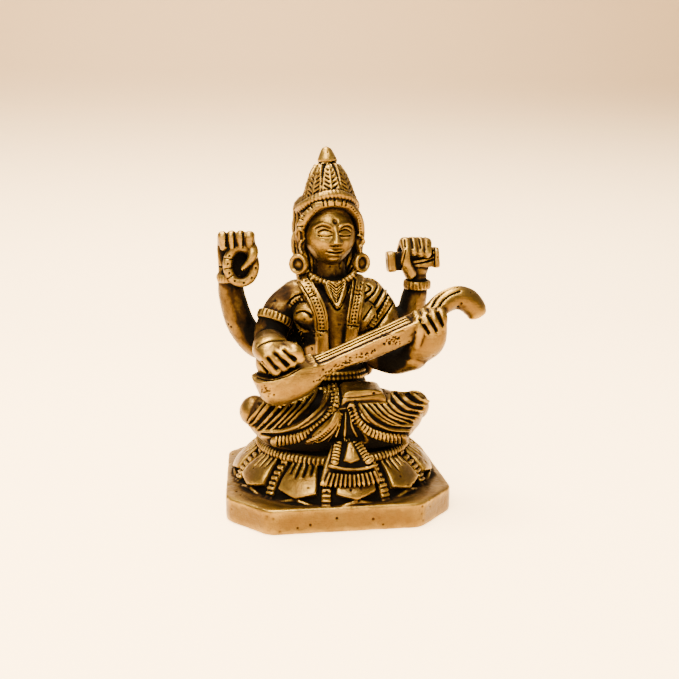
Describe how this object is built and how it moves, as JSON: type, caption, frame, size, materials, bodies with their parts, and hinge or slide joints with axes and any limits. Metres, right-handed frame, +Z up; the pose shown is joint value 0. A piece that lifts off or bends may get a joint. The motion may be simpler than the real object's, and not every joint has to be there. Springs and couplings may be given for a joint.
{
  "type": "saraswati figure",
  "caption": "Small cast brass figure of a seated four-armed goddess holding a long-necked lute, beads and a manuscript, on a lotus over a corner-cut plinth.",
  "frame": {"origin": "centre of the plinth's flat underside", "axes": "+Z up to the tip of the crown, the figure facing -Y, its right side towards -X"},
  "size_m": [0.0787, 0.0632, 0.105],
  "materials": {
    "brass": "satin golden brass on the worn high parts, dark brown to black patina in the recesses"
  },
  "bodies": {
    "root": {"saraswati_casting": "brass"}
  },
  "joints": []
}
